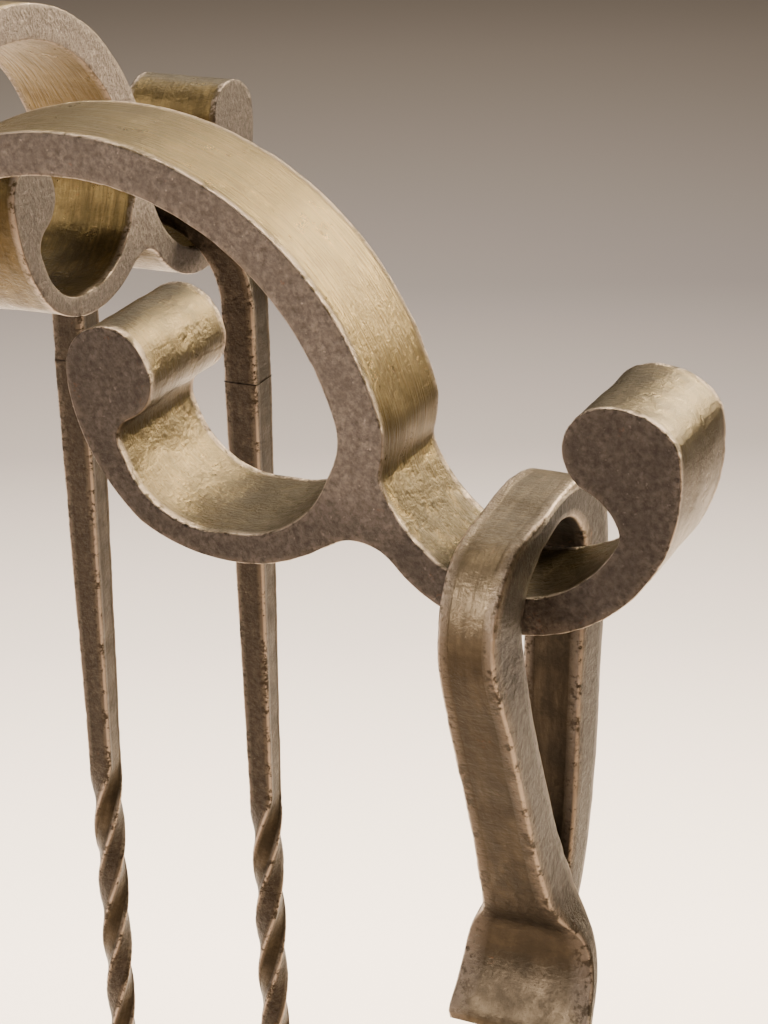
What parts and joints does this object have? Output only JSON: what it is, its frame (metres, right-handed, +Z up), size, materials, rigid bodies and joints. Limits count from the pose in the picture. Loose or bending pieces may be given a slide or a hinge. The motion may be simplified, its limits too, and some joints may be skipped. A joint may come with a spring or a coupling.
{
  "type": "fireplace tool set",
  "caption": "Forged iron stand with arched arms that end in a scroll and a hook; a poker, tongs, shovel and brush hang from the hooks.",
  "frame": {"origin": "centre of the stand at floor level", "axes": "+Z up along the column; +X along the arm that holds the poker"},
  "size_m": [0.3934, 0.3934, 0.8],
  "materials": {
    "forged_iron": "waxed black forged iron with worn bright edges",
    "tool_iron": "waxed black forged iron, smoother and browner",
    "rivet_iron": "hammered rivet heads",
    "bristle": "stiff brown natural fibre"
  },
  "bodies": {
    "stand": {"column_core": "forged_iron", "arm_1": "forged_iron", "arm_2": "forged_iron", "arm_3": "forged_iron", "arm_4": "forged_iron", "leg_1": "forged_iron", "leg_2": "forged_iron", "leg_3": "forged_iron", "leg_4": "forged_iron", "top_collar": "forged_iron", "middle_collar": "forged_iron", "bottom_collar": "forged_iron", "arm_rivets": "rivet_iron", "leg_rivets": "rivet_iron"},
    "poker": {"poker_shaft": "tool_iron", "poker_claw": "tool_iron"},
    "tongs": {"tongs_bow": "tool_iron"},
    "tongs_left": {"tongs_leg_left": "tool_iron"},
    "tongs_right": {"tongs_leg_right": "tool_iron"},
    "shovel": {"shovel_shaft": "tool_iron", "shovel_pan": "tool_iron", "shovel_rivets": "rivet_iron"},
    "brush": {"brush_shaft": "tool_iron", "brush_ferrule": "tool_iron", "brush_bristles": "bristle"}
  },
  "joints": [
    {"name": "poker_swing", "type": "hinge", "parent": "stand", "child": "poker", "pos_m": [0.1617, 0, 0.7188], "axis": [1, 0, 0], "range_deg": [-6, 6]},
    {"name": "tongs_swing", "type": "hinge", "parent": "stand", "child": "tongs", "pos_m": [0, 0.1617, 0.7113], "axis": [0, 1, 0], "range_deg": [-6, 6]},
    {"name": "shovel_swing", "type": "hinge", "parent": "stand", "child": "shovel", "pos_m": [-0.1617, 0, 0.7188], "axis": [-1, 0, 0], "range_deg": [-6, 6]},
    {"name": "brush_swing", "type": "hinge", "parent": "stand", "child": "brush", "pos_m": [0, -0.1617, 0.7188], "axis": [0, -1, 0], "range_deg": [-6, 6]},
    {"name": "tongs_squeeze_left", "type": "hinge", "parent": "tongs", "child": "tongs_left", "pos_m": [-0.0245, 0.1617, 0.6915], "axis": [0, -1, 0], "range_deg": [0, 1.85], "stiffness_Nm_per_rad": 12},
    {"name": "tongs_squeeze_right", "type": "hinge", "parent": "tongs", "child": "tongs_right", "pos_m": [0.0245, 0.1617, 0.6915], "axis": [0, -1, 0], "range_deg": [-1.85, 0], "stiffness_Nm_per_rad": 12}
  ],
  "couplings": [
    {"joint": "tongs_squeeze_right", "follows": "tongs_squeeze_left", "ratio": -1}
  ]
}
